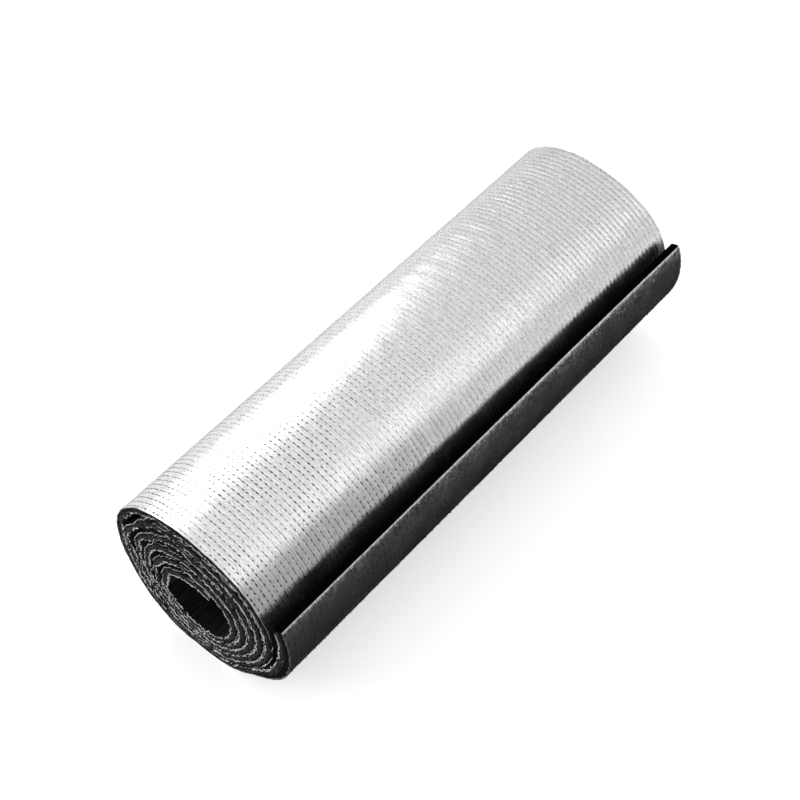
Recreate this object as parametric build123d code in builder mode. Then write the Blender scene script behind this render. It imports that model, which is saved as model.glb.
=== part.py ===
from build123d import *
import os
from math import ceil, cos, pi, radians, sin

# A roll of foil-faced needled felt, the insulation mat that is cut from stock
# 500 mm wide. It lies on its side along Y, foil outwards, with its front end
# facing -Y. Angles are seen from the front end and run counterclockwise from
# +X, which is also the way the mat is wound from its inner end to its free end.
# The origin is on the floor, under the middle of the roll's overall box.

# The mat
roll_width = 500.0          # width of the mat, so the length of the roll
foil_thickness = 0.3        # aluminium facing with its glass cloth backing
free_felt_thickness = 10.8  # felt at the free end, where nothing squeezes it

# The winding
turns = 5.9                 # from the inner end to the free end
wound_thickness = 8.93      # mean step from one turn to the next, with the air between
turn_gap = 0.7              # air between the foil and the felt wound over it
slack_gap = 1.8             # extra air on the side where the turns are loose
slack_angle = 150.0         # the middle of that side
inner_end_angle = 58.0      # where the mat begins, beside the bore

# The bore, round with a flat roof that the inner end of the mat makes
bore_diameter = 55.0
bore_roof = 27.0            # from the bore's middle up to the flat roof
bore_roof_tilt = 12.0       # the roof rises this much towards the inner end
bore_sag_height = 22.9      # the turns sag, so the bore hangs this far under the roll's middle

# The outside, three low lobes round a circle, pressed flat by the floor
lobe_height = 3.5
lobe_angle = 142.0
foot_depth = 2.0            # how far the floor pushes the turns up together
foot_press_depth = 0.6      # and the outer turn by itself, which leaves the foot straight

# The free end, which springs clear of the roll
flap_arc = 76.0             # from where it leaves the roll to its cut edge
bend_arc = 38.0             # the first part of that, in which it bends away
flap_rise_height = 8.9

points_per_turn = 30        # two for each arc that the section is drawn with
roof_sharpness = 14         # how tightly the roof meets the round of the bore
foot_sharpness = 30         # how tightly the foot meets the round outside

bore_radius = bore_diameter / 2
layers = turns + 1 - turn_gap / wound_thickness
outer_radius = bore_radius + layers * wound_thickness


def least(a, b, sharpness):
    """The smaller of two radii, with the corner between them rounded."""
    return (a**-sharpness + b**-sharpness) ** (-1 / sharpness)


def chord(distance, turned):
    """Radius of a straight line at that distance, turned from the line's own normal."""
    return distance / max(cos(turned), 0.01)


def ease(share):
    """Smooth rise from 0 to 1."""
    share = min(max(share, 0), 1)
    return share * share * (3 - 2 * share)


def bore_point(angle):
    """Wall of the bore, seen from the bore's middle."""
    roof = chord(bore_roof, angle - radians(90 + bore_roof_tilt))
    return Vector(cos(angle), sin(angle)) * least(bore_radius, roof, roof_sharpness)


def lobed_radius(angle):
    """The roll's radius with its three low lobes."""
    return outer_radius + lobe_height * cos(3 * (angle - radians(lobe_angle)))


def rim_point(angle):
    """The outline that the turns grow to, seen from the bore's middle."""
    straight_down = radians(-90)
    foot = chord(lobed_radius(straight_down) - foot_depth, angle - straight_down)
    reach = least(lobed_radius(angle), foot, foot_sharpness)
    return Vector(cos(angle), sin(angle)) * reach + Vector(0, bore_sag_height)


def mat_point(turn, felt_share, foil_share):
    """A point of the wound mat that far through its felt and its foil."""
    angle = radians(inner_end_angle) + 2 * pi * turn
    bore = bore_point(angle)
    pitch = (rim_point(angle) - bore) / layers
    outward = pitch.normalized()
    into_flap = (turn - turns) * 360 + flap_arc
    rise = flap_rise_height * ease(into_flap / bend_arc)
    slack = slack_gap * max(cos(angle - radians(slack_angle)), 0) ** 2
    squeezed = pitch.length - turn_gap - slack - foil_thickness
    felt = squeezed + (free_felt_thickness - squeezed) * ease(into_flap / flap_arc)
    depth = rise + felt * felt_share + foil_thickness * foil_share
    return bore + pitch * turn + outward * depth


last_turn = [turns - 1 + step / 720 for step in range(721)]
rim = [mat_point(turn, 1, 1) for turn in last_turn]
middle = (min(point.X for point in rim) + max(point.X for point in rim)) / 2
floor = min(point.Y for point in rim) + foot_press_depth


def felt_face(turn):
    """The felt's inner face."""
    return mat_point(turn, 0, 0) - Vector(middle, floor)


def bond_face(turn):
    """Where the foil is bonded to the felt, a foil's thickness off the floor at the foot."""
    point = mat_point(turn, 1, 0) - Vector(middle, floor)
    return Vector(point.X, max(point.Y, foil_thickness))


def foil_face(turn):
    """The foil's outer face, on the floor at the foot."""
    point = mat_point(turn, 1, 1) - Vector(middle, floor)
    return Vector(point.X, max(point.Y, 0))


def arcs(face, start, stop):
    """Draws one face of the mat from turn to turn as a chain of arcs."""
    spans = 2 * ceil((stop - start) * points_per_turn / 2)
    points = [face(start + (stop - start) * span / spans) for span in range(spans + 1)]
    for first in range(0, spans, 2):
        ThreePointArc(*points[first : first + 3])


def outside(face, floor_height):
    """Draws an outer face of the mat: arcs, the straight foot, arcs."""
    pressed = [turn for turn in last_turn if face(turn).Y <= floor_height]
    arcs(face, 0, pressed[0])
    Line(face(pressed[0]), face(pressed[-1]))
    arcs(face, pressed[-1], turns)


def wound_sheet(inner, outer):
    """Draws the two cut ends of a sheet between its faces."""
    Line(inner(0), outer(0))
    Line(inner(turns), outer(turns))


os.makedirs("parts", exist_ok=True)
back_end = Plane.XZ.offset(-roll_width / 2)

# Needled felt, one long sheet wound up, squeezed thin under the bore
with BuildPart() as felt_mat:
    with BuildSketch(back_end):
        with BuildLine():
            arcs(felt_face, 0, turns)
            outside(bond_face, foil_thickness)
            wound_sheet(felt_face, bond_face)
        make_face()
    extrude(amount=roll_width)
felt_mat.part.label = "felt_mat"
export_step(felt_mat.part, "parts/felt_mat.step")

# Aluminium facing, bonded to the felt's outer face from end to end
with BuildPart() as foil_facing:
    with BuildSketch(back_end):
        with BuildLine():
            outside(bond_face, foil_thickness)
            outside(foil_face, 0)
            wound_sheet(bond_face, foil_face)
        make_face()
    extrude(amount=roll_width)
foil_facing.part.label = "foil_facing"
export_step(foil_facing.part, "parts/foil_facing.step")
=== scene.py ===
"""A roll of foil-faced needled felt insulation, lying on its side in a plain pale studio."""

import logging
from dataclasses import dataclass, field
from enum import Enum
from math import cos, radians, sin

import bpy
import numpy as np
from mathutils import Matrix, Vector

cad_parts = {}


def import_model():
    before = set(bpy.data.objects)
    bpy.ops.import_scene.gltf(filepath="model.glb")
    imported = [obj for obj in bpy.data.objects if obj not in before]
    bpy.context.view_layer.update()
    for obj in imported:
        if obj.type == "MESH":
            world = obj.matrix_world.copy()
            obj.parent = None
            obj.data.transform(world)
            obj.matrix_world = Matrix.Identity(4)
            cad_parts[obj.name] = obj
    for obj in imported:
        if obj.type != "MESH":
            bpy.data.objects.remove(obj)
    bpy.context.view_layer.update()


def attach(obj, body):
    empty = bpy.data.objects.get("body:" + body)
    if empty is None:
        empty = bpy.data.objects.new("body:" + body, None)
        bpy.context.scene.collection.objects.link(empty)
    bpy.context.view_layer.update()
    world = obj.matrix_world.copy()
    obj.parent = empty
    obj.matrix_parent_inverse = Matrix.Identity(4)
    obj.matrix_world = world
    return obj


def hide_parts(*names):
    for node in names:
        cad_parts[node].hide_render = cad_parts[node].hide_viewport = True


MM = 0.001
TINY = 1e-6         # points closer than this count as being in one place
log = logging.getLogger("insulation_roll")


def linear(colour: str) -> tuple[float, float, float, float]:
    """Turns an sRGB hex colour into linear light.

    Args:
        colour: The colour as six hex digits after a hash sign.

    Returns:
        Red, green, blue and an alpha of 1.
    """
    shares = [int(colour[place : place + 2], 16) / 255 for place in (1, 3, 5)]
    light = [s / 12.92 if s <= 0.04045 else ((s + 0.055) / 1.055) ** 2.4 for s in shares]
    return (*light, 1.0)


def feed(tree: bpy.types.NodeTree, node: bpy.types.Node, inputs: dict) -> None:
    """Sets a node's input sockets.

    Args:
        tree: The material's or world's node tree.
        node: The node.
        inputs: Socket name or number to a fixed value, or to the output socket that feeds it.
    """
    for socket, value in inputs.items():
        if isinstance(value, bpy.types.NodeSocket):
            tree.links.new(value, node.inputs[socket])
        else:
            node.inputs[socket].default_value = value


def add_node(tree: bpy.types.NodeTree, kind: str, inputs: dict | None = None,
             **settings) -> bpy.types.Node:
    """Adds one node.

    Args:
        tree: The material's or world's node tree.
        kind: Blender's name for the node type.
        inputs: What goes into its sockets, as for feed.
        **settings: The node's own properties.

    Returns:
        The new node.
    """
    node = tree.nodes.new(kind)
    for name, value in settings.items():
        setattr(node, name, value)
    feed(tree, node, inputs or {})
    return node


def calculated(tree: bpy.types.NodeTree, operation: str, *parts) -> bpy.types.NodeSocket:
    """Adds one calculation on numbers and sockets, and gives its result."""
    made = add_node(tree, "ShaderNodeMath", dict(enumerate(parts)), operation=operation)
    return made.outputs["Value"]


def mapped(tree: bpy.types.NodeTree, value: bpy.types.NodeSocket, span: tuple[float, float],
           ends: tuple[float, float] = (0.0, 1.0), **settings) -> bpy.types.NodeSocket:
    """Adds a change from one range to another.

    Args:
        tree: The material's or world's node tree.
        value: The value to change.
        span: Where it starts and stops.
        ends: What it becomes there.
        **settings: The node's own properties.

    Returns:
        The new value, which stays between the two ends.
    """
    limits = {"From Min": span[0], "From Max": span[1], "To Min": ends[0], "To Max": ends[1]}
    return add_node(tree, "ShaderNodeMapRange", limits | {"Value": value},
                    **settings).outputs["Result"]


def noise(tree: bpy.types.NodeTree, place: bpy.types.NodeSocket, scale: float, detail: float,
          roughness: float = 0.5) -> bpy.types.NodeSocket:
    """Adds noise.

    Args:
        tree: The material's node tree.
        place: The coordinates that it reads.
        scale: How many spots it has for each unit of them.
        detail: How many finer layers it has.
        roughness: How strong those are.

    Returns:
        The noise's value, about 0.5 on average.
    """
    return add_node(tree, "ShaderNodeTexNoise",
                    {"Scale": scale, "Detail": detail, "Roughness": roughness,
                     "Vector": place}).outputs["Fac"]


def ramp(tree: bpy.types.NodeTree, value: bpy.types.NodeSocket,
         *stops: tuple[float, str]) -> bpy.types.NodeSocket:
    """Adds a ramp through colours.

    Args:
        tree: The material's node tree.
        value: The value that it reads.
        *stops: Each colour's place on the ramp, and its hex.

    Returns:
        The colour.
    """
    made = add_node(tree, "ShaderNodeValToRGB", {"Fac": value})
    colours = made.color_ramp.elements
    for number, (place, colour) in enumerate(stops):
        stop = colours[number] if number < len(colours) else colours.new(place)
        stop.position = place
        stop.color = linear(colour)
    return made.outputs["Color"]


def bumped(tree: bpy.types.NodeTree, height: bpy.types.NodeSocket, depth: float,
           strength: float = 1.0, **under: bpy.types.NodeSocket) -> bpy.types.NodeSocket:
    """Adds fine relief that only the light sees.

    Args:
        tree: The material's node tree.
        height: The relief, from 0 to 1.
        depth: How deep it is, in metres.
        strength: How much of it shows.
        **under: Normal, if it lies on other relief.

    Returns:
        The normal.
    """
    return add_node(tree, "ShaderNodeBump", {"Strength": strength, "Distance": depth,
                                             "Height": height} | under).outputs["Normal"]


def new_finish(name: str, inputs: dict) -> tuple:
    """Starts a material.

    Args:
        name: The finish's name.
        inputs: What goes into its shader's sockets, as for feed.

    Returns:
        The material, its node tree and its shader.
    """
    made = bpy.data.materials.new(name)
    made.use_nodes = True
    shader = made.node_tree.nodes["Principled BSDF"]
    feed(made.node_tree, shader, inputs)
    return made, made.node_tree, shader


def ease(share: np.ndarray) -> np.ndarray:
    """Rises smoothly from 0 to 1."""
    share = np.clip(share, 0, 1)
    return share * share * (3 - 2 * share)


def least(first: np.ndarray, second: np.ndarray, sharpness: float) -> np.ndarray:
    """Gives the smaller of two radii, with the corner between them rounded."""
    return (first**-sharpness + second**-sharpness) ** (-1 / sharpness)


def chord(distance: float, turned: np.ndarray) -> np.ndarray:
    """Gives the radius of a straight line at that distance, turned from its own normal."""
    return distance / np.maximum(np.cos(turned), 0.01)


def unit(vectors: np.ndarray) -> np.ndarray:
    """Makes every vector one long."""
    return vectors / np.linalg.norm(vectors, axis=1)[:, None]


@dataclass(frozen=True)
class Ripples:
    """Smooth random waves over the flat mat, a seeded sum of sines.

    Attributes:
        seed: Which waves these are.
        shortest: Shortest wavelength in metres.
        longest: Longest wavelength in metres.
        crosswise: How much of each wave runs across the mat's width, from 0 to 1.
        waves: How many sines are added.
    """

    seed: int
    shortest: float
    longest: float
    crosswise: float = 1.0
    waves: int = 14

    def at(self, along: np.ndarray, across: np.ndarray) -> np.ndarray:
        """Gives the waves' height, mostly between -1 and 1.

        Args:
            along: Places along the mat's length in metres.
            across: Places across its width in metres.

        Returns:
            The height at each place.
        """
        draw = np.random.default_rng(self.seed)
        total = np.zeros(np.broadcast(along, across).shape)
        for _ in range(self.waves):
            length = self.shortest * (self.longest / self.shortest) ** draw.random()
            heading = self.crosswise * draw.uniform(-1, 1) * np.pi / 2
            phase = draw.uniform(0, 2 * np.pi)
            steps = (along * np.cos(heading) + across * np.sin(heading)) / length
            total += np.sin(2 * np.pi * steps + phase)
        return total / np.sqrt(self.waves / 2) / 1.6


@dataclass(frozen=True)
class Winding:
    """How the mat is wound, seen from the front end, with angles counterclockwise from +X.

    The round numbers are the frame's own, so that the wound pieces lie where its solids do.
    """

    roll_width: float = 500 * MM
    foil_thickness: float = 0.3 * MM
    free_felt_thickness: float = 10.8 * MM
    turns: float = 5.9
    wound_thickness: float = 8.93 * MM
    turn_gap: float = 0.7 * MM
    slack_gap: float = 1.8 * MM
    slack_angle: float = radians(150)
    inner_end_angle: float = radians(58)
    bore_radius: float = 27.5 * MM
    bore_roof: float = 27 * MM
    bore_roof_tilt: float = radians(12)
    bore_sag_height: float = 22.9 * MM
    lobe_height: float = 3.5 * MM
    lobe_angle: float = radians(142)
    foot_depth: float = 2 * MM
    foot_press_depth: float = 0.6 * MM
    flap_arc: float = 76.0
    bend_arc: float = 38.0
    flap_rise_height: float = 8.9 * MM
    roof_sharpness: float = 14
    foot_sharpness: float = 30
    loose_gap: float = 3.6 * MM      # extra air at the ends where the turns stand apart
    sway: float = 1.5 * MM           # how far a turn wanders in or out at the ends
    sway_reach: float = 70 * MM      # how far in from the ends it does so
    edge_wiggle: float = 0.45 * MM   # waviness of the cut edges
    edge_reach: float = 6 * MM
    slow_waves: Ripples = Ripples(seed=3, shortest=35 * MM, longest=110 * MM, crosswise=0.2)
    loose_waves: Ripples = Ripples(seed=8, shortest=30 * MM, longest=90 * MM, crosswise=0.1)
    edge_waves: Ripples = Ripples(seed=5, shortest=4 * MM, longest=14 * MM, crosswise=0.1)
    rim_waves: Ripples = Ripples(seed=6, shortest=5 * MM, longest=16 * MM, crosswise=0.1)
    flap_fullness: float = 5.2 * MM  # extra felt in the bend of the flap, at the front
    flap_pinch: float = 3.4 * MM     # felt that is missing from its tip, at the back
    flap_slant: float = 3.6 * MM     # how much shorter its foil is than its felt, at the back
    slant_reach: float = 15 * MM     # how far in from the free end the slant is felt
    slant_shares: tuple[float, float] = (0.15, 0.85)   # all along, and growing to the back
    shoulder: float = 4.0 * MM       # how far the felt swells above the flap, at the back
    swell_grows: tuple[float, float] = (-45.0, 40.0)   # degrees past the flap's edge, over how many
    swell_fades: tuple[float, float] = (3.0, 60.0)     # the same for where it goes down again
    swell_shares: tuple[float, float] = (0.1, 0.9)     # all along, and growing to the back

    @property
    def layers(self) -> float:
        """Counts the turns between the bore and the outside, along one ray."""
        return self.turns + 1 - self.turn_gap / self.wound_thickness

    def angle_at(self, turn: np.ndarray) -> np.ndarray:
        """Gives the angle that a turn lies at."""
        return self.inner_end_angle + 2 * np.pi * turn

    def into_flap(self, turn: np.ndarray) -> np.ndarray:
        """Gives the degrees past where the free end leaves the roll."""
        return (turn - self.turns) * 360 + self.flap_arc

    def to_back(self, across: np.ndarray) -> np.ndarray:
        """Gives 0 at the front end and 1 at the back end."""
        return across / self.roll_width + 0.5

    def to_end(self, across: np.ndarray) -> np.ndarray:
        """Gives the distance to the nearer end of the roll."""
        return self.roll_width / 2 - np.abs(across)

    def lobed_radius(self, angle: np.ndarray) -> np.ndarray:
        """Gives the roll's radius with its three low lobes."""
        outer = self.bore_radius + self.layers * self.wound_thickness
        return outer + self.lobe_height * np.cos(3 * (angle - self.lobe_angle))

    def rays(self, turn: np.ndarray) -> tuple[np.ndarray, np.ndarray]:
        """Finds where each ray of the section starts and how far it steps each turn.

        Args:
            turn: Turns from the mat's inner end.

        Returns:
            The bore's wall as (x, z) pairs, and the step outwards for one turn.
        """
        angle = self.angle_at(turn)
        outwards = np.stack([np.cos(angle), np.sin(angle)], -1)
        roof = chord(self.bore_roof, angle - radians(90) - self.bore_roof_tilt)
        bore = outwards * least(self.bore_radius, roof, self.roof_sharpness)[..., None]
        down = radians(-90)
        foot = chord(self.lobed_radius(np.array(down)) - self.foot_depth, angle - down)
        reach = least(self.lobed_radius(angle), foot, self.foot_sharpness)
        rim = outwards * reach[..., None] + np.array([0, self.bore_sag_height])
        return bore, (rim - bore) / self.layers

    def depths(self, turn: np.ndarray, ray: np.ndarray) -> tuple[np.ndarray, np.ndarray]:
        """Gives how far the mat rises off the roll and how thick its felt is there.

        Args:
            turn: Turns from the mat's inner end.
            ray: Length of the step that one turn takes.

        Returns:
            The rise and the felt's thickness, in metres.
        """
        into_flap = self.into_flap(turn)
        loose = np.maximum(np.cos(self.angle_at(turn) - self.slack_angle), 0)
        slack = self.slack_gap * loose**2
        squeezed = ray - self.turn_gap - slack - self.foil_thickness
        rise = self.flap_rise_height * ease(into_flap / self.bend_arc)
        felt = squeezed + (self.free_felt_thickness - squeezed) * ease(into_flap / self.flap_arc)
        return rise, felt

    def even_section(self, turn: np.ndarray, felt_share: np.ndarray,
                     foil_share: np.ndarray) -> np.ndarray:
        """Gives points of the evenly wound mat, before it is set on the floor.

        Args:
            turn: Turns from the mat's inner end.
            felt_share: How far through the felt, from its inner face.
            foil_share: How far through the foil.

        Returns:
            The points as (x, z) pairs.
        """
        bore, step = self.rays(turn)
        ray = np.linalg.norm(step, axis=-1)
        rise, felt = self.depths(turn, ray)
        depth = rise + felt * felt_share + self.foil_thickness * foil_share
        return bore + step * (turn + depth / ray)[..., None]

    @property
    def resting_place(self) -> np.ndarray:
        """Finds the middle of the roll's outside and the floor under it."""
        turn = self.turns - 1 + np.linspace(0, 1, 721)
        rim = self.even_section(turn, np.ones(721), np.ones(721))
        return np.array([(rim[:, 0].min() + rim[:, 0].max()) / 2,
                         rim[:, 1].min() + self.foot_press_depth])

    def unrolled(self, steps: int = 6000) -> tuple[np.ndarray, np.ndarray]:
        """Measures the flat mat along its bonded face.

        Args:
            steps: How many short chords the length is added up from.

        Returns:
            Turns, and the length of mat up to each.
        """
        turn = np.linspace(0, self.turns, steps)
        points = self.even_section(turn, np.ones(steps), np.zeros(steps))
        lengths = np.linalg.norm(np.diff(points, axis=0), axis=1)
        return turn, np.concatenate([[0], np.cumsum(lengths)])

    def shortened(self, along: np.ndarray, across: np.ndarray, share: np.ndarray,
                  length: float) -> np.ndarray:
        """Cuts the free end at a slant, so that the foil stops short of the felt's inner face.

        Args:
            along: Length of mat at each point.
            across: Place across the width.
            share: How far through the felt, and 1 in the foil.
            length: Length of the whole mat.

        Returns:
            The lengths, shortened near the free end.
        """
        even, growing = self.slant_shares
        near_cut = ease(1 - (length - along) / self.slant_reach)
        slant = even + growing * self.to_back(across) ** 3
        return along - self.flap_slant * slant * share * near_cut

    def swollen(self, turn: np.ndarray, across: np.ndarray) -> np.ndarray:
        """Gives how far the last full turn swells out above the flap, towards the back end.

        Args:
            turn: Turns from the mat's inner end.
            across: Place across the width.

        Returns:
            The swelling in metres.
        """
        past_flap = (turn - self.turns + 1) * 360
        grows = ease((past_flap - self.swell_grows[0]) / self.swell_grows[1])
        fades = 1 - ease((past_flap - self.swell_fades[0]) / self.swell_fades[1])
        even, growing = self.swell_shares
        to_back = np.clip(self.to_back(across), 0, 1)
        return self.shoulder * grows * fades * (even + growing * to_back**0.9)

    def loosened(self, turn: np.ndarray, along: np.ndarray, across: np.ndarray,
                 felt: np.ndarray) -> tuple[np.ndarray, np.ndarray]:
        """Moves the turns a little near the ends, as far as the air between them lets them.

        Args:
            turn: Turns from the mat's inner end.
            along: Length of mat up to there.
            across: Place across the width.
            felt: The felt's even thickness.

        Returns:
            How far the mat is moved outwards, and how much of the felt is missing inside.
        """
        near_end = np.exp(-np.maximum(self.to_end(across), 0) / self.sway_reach)
        hidden_turns = ease((self.turns - 1.05 - turn) / 0.3) * ease(turn / 0.4)
        loose_side = ease(1.25 * np.cos(self.angle_at(turn) - self.slack_angle))
        sway = self.sway * self.slow_waves.at(along, across) * near_end * hidden_turns
        sway *= 0.35 + 0.65 * loose_side
        room = 0.6 + 0.55 * self.loose_waves.at(along, across)
        missing = self.loose_gap * np.maximum(room, 0) * loose_side * near_end
        missing *= ease(turn / 0.5)
        missing = np.minimum(missing + 0.4 * np.abs(sway), 0.5 * felt)
        into_flap = self.into_flap(turn)
        to_back = ease(self.to_back(across))
        bend = ease(into_flap / self.bend_arc)
        fuller = self.flap_fullness * bend * (1 - 0.7 * ease(into_flap / self.bend_arc - 1))
        return sway, missing - fuller * (1 - to_back) ** 2 + self.flap_pinch * to_back**2 * bend

    def place(self, turn: np.ndarray, along: np.ndarray, across: np.ndarray,
              felt_share: np.ndarray, foil_share: np.ndarray,
              lift: np.ndarray | float = 0.0) -> np.ndarray:
        """Gives points of the mat as it lies on the floor, with its waves and loose turns.

        Args:
            turn: Turns from the mat's inner end.
            along: Length of mat up to there, in metres.
            across: Place across the width, in metres.
            felt_share: How far through the felt, from its inner face.
            foil_share: How far through the foil.
            lift: Extra distance outwards, in metres.

        Returns:
            The points as (x, y, z) triples.
        """
        bore, step = self.rays(turn)
        ray = np.linalg.norm(step, axis=-1)
        rise, felt = self.depths(turn, ray)
        sway, missing = self.loosened(turn, along, across, felt)
        at_edge = np.exp(-np.maximum(self.to_end(across), 0) / self.edge_reach)
        inner = self.edge_waves.at(along, across) * (1 - felt_share)
        outer = self.rim_waves.at(along, across) * felt_share * 0.5
        wiggle = self.edge_wiggle * at_edge * (inner + outer)
        depth = rise + missing + (felt - missing + self.swollen(turn, across)) * felt_share
        depth = depth + self.foil_thickness * foil_share + sway + wiggle + lift
        points = bore + step * (turn + depth / ray)[..., None] - self.resting_place
        lowest = self.foil_thickness * (1 - foil_share)
        height = np.maximum(points[..., 1], lowest)
        return np.stack([points[..., 0], across + 0 * height, height], -1)


class Side(Enum):
    """Which end of the roll."""

    FRONT = -1
    BACK = 1


def alone(piece: bpy.types.Object) -> bpy.types.Object:
    """Selects one piece and nothing else."""
    bpy.ops.object.select_all(action="DESELECT")
    piece.select_set(True)
    bpy.context.view_layer.objects.active = piece
    return piece


def coordinates(mesh: bpy.types.Mesh) -> np.ndarray:
    """Reads a mesh's points."""
    flat = np.empty(len(mesh.vertices) * 3)
    mesh.vertices.foreach_get("co", flat)
    return flat.reshape(-1, 3)


def set_coordinates(mesh: bpy.types.Mesh, points: np.ndarray) -> None:
    """Writes a mesh's points."""
    mesh.vertices.foreach_set("co", points.ravel())
    mesh.update()


def store(mesh: bpy.types.Mesh, name: str, values: np.ndarray) -> None:
    """Keeps one number for each point of a mesh, for its material to read."""
    attribute = mesh.attributes.new(name, "FLOAT", "POINT")
    attribute.data.foreach_set("value", values.astype(np.float32))


def corner_points(mesh: bpy.types.Mesh) -> np.ndarray:
    """Reads which point each corner of each face is on."""
    corners = np.empty(len(mesh.loops), np.int32)
    mesh.loops.foreach_get("vertex_index", corners)
    return corners


def flat_grid(name: str, columns: int, rows: int) -> bpy.types.Object:
    """Models a flat square one unit wide, with that many faces each way."""
    bpy.ops.object.select_all(action="DESELECT")
    bpy.ops.mesh.primitive_grid_add(x_subdivisions=columns, y_subdivisions=rows, size=1,
                                    calc_uvs=False)
    piece = bpy.context.object
    piece.name = piece.data.name = name
    return piece


def thicken(layers: int) -> None:
    """Makes the active flat piece a closed slab one unit thick, with its faces outwards."""
    bpy.ops.object.mode_set(mode="EDIT")
    bpy.ops.mesh.select_all(action="SELECT")
    for _ in range(layers):
        bpy.ops.mesh.extrude_region_move(TRANSFORM_OT_translate={"value": (0, 0, 1 / layers)})
    bpy.ops.mesh.select_all(action="SELECT")
    bpy.ops.mesh.normals_make_consistent(inside=False)
    bpy.ops.object.mode_set(mode="OBJECT")


def finished(piece: bpy.types.Object, points: np.ndarray, *finishes) -> bpy.types.Object:
    """Moves a slab's points to where they are wound, and gives it its finishes.

    Args:
        piece: The slab.
        points: Where its points go.
        *finishes: What it is made of, in the order of its faces' numbers.

    Returns:
        The finished piece.
    """
    set_coordinates(piece.data, points)
    for finish in finishes:
        piece.data.materials.append(finish.material())
    alone(piece)
    bpy.ops.object.shade_smooth_by_angle(angle=radians(50))
    return piece


@dataclass(frozen=True)
class NeedledFelt:
    """Needle-punched felt of black synthetic fibre: matt, dark, with paler fibres in it.

    Attributes:
        name: The finish's name.
        dark: Colour between the fibres.
        pale: Colour of the fibres that catch the light.
        contrast: Where the noise is wholly dark, and where it is wholly pale.
        fibre_width: Thickness of a fibre bundle, drawn as coarse as the picture can show.
        stretch: How many times longer than wide the fibres look, along the roll.
        relief: How deep the fibres are.
        relief_strength: How much of that shows.
        shine: How much it mirrors.
    """

    name: str = "needled_felt"
    dark: str = "#070707"
    pale: str = "#242425"
    contrast: tuple[float, float] = (0.42, 0.68)
    fibre_width: float = 0.9 * MM
    stretch: float = 22.0
    relief: float = 0.3 * MM
    relief_strength: float = 0.6
    roughness: float = 0.95
    sheen: float = 0.04
    shine: float = 0.1

    def material(self) -> bpy.types.Material:
        """Makes the material.

        Returns:
            The new material, which reads Object coordinates.
        """
        made, tree, shader = new_finish(self.name, {
            "Roughness": self.roughness, "Sheen Weight": self.sheen, "Specular IOR Level": self.shine})
        place = add_node(tree, "ShaderNodeTexCoord").outputs["Object"]
        scale = 1 / self.fibre_width
        drawn = add_node(tree, "ShaderNodeMapping",
                         {"Scale": (scale, scale / self.stretch, scale), "Vector": place})
        fibres = noise(tree, drawn.outputs["Vector"], 1.0, 3.0, 0.65)
        feed(tree, shader, {
            "Base Color": ramp(tree, fibres, (self.contrast[0], self.dark), (self.contrast[1], self.pale)),
            "Normal": bumped(tree, fibres, self.relief, self.relief_strength)})
        return made


@dataclass(frozen=True)
class CutFelt:
    """The felt's knife-cut edge: dark grey, speckled with pale fibre ends, with painted shade under the
    foil.

    Painted shade: a near-black band in the felt just under the foil, where shadow falls under its edge.

    Attributes:
        dark: Colour between the fibres.
        middle: Colour of most of them.
        pale: Colour of the fibre ends that catch the light.
        contrast: Where the noise is dark, where it is middling and where it is pale.
        speck_size: Size of a fibre end.
        relief: How deep the specks are.
        relief_strength: How much of that shows.
        painted_shade_colour: Colour of the painted shade in the felt next to the foil.
        painted_shade_from: How far through the felt the painted shade starts.
        painted_shade_border: How far before and after that the two colours run into each other.
        shine: How much it mirrors.
    """

    name: str = "cut_felt_edge"
    dark: str = "#0a0a0a"
    middle: str = "#171717"
    pale: str = "#525252"
    contrast: tuple[float, float, float] = (0.36, 0.56, 0.72)
    speck_size: float = 0.8 * MM
    relief: float = 0.5 * MM
    relief_strength: float = 0.8
    painted_shade_colour: str = "#040404"
    painted_shade_from: float = 0.76
    painted_shade_border: tuple[float, float] = (0.08, 0.04)
    roughness: float = 0.9
    shine: float = 0.12

    def material(self) -> bpy.types.Material:
        """Makes the material.

        Returns:
            The new material, which reads Object coordinates and the piece's depth attribute.
        """
        made, tree, shader = new_finish(self.name, {"Roughness": self.roughness,
                                                    "Specular IOR Level": self.shine})
        place = add_node(tree, "ShaderNodeTexCoord").outputs["Object"]
        specks = noise(tree, place, 1 / self.speck_size, 3.0, 0.7)
        felt = ramp(tree, specks, *zip(self.contrast, (self.dark, self.middle, self.pale)))
        depth = add_node(tree, "ShaderNodeAttribute", attribute_name="depth").outputs["Fac"]
        # Painted shade: past this depth the felt turns near-black, as if in the shadow under the foil's
        # edge
        painted_shade_share = mapped(tree, depth, (self.painted_shade_from - self.painted_shade_border[0],
                                      self.painted_shade_from + self.painted_shade_border[1]))
        colour = add_node(tree, "ShaderNodeMix", {0: painted_shade_share, 6: felt, 7: linear(self.painted_shade_colour)},
                          data_type="RGBA")
        feed(tree, shader, {"Base Color": colour.outputs[2],
                            "Normal": bumped(tree, specks, self.relief, self.relief_strength)})
        return made


@dataclass(frozen=True)
class PaintedShadeEdge:
    """The long cut edge of the free end, matt and near-black with no gloss: painted shade where it lies in
    shadow.
    """

    name: str = "painted_shade_free_edge"
    colour: str = "#050505"

    def material(self) -> bpy.types.Material:
        """Makes the material."""
        # Painted shade: near-black with no gloss or sheen, so the free end's cut face looks as dark as
        # shadow
        return new_finish(self.name, {"Base Color": linear(self.colour), "Roughness": 1.0,
                                      "Specular IOR Level": 0.0})[0]


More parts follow.
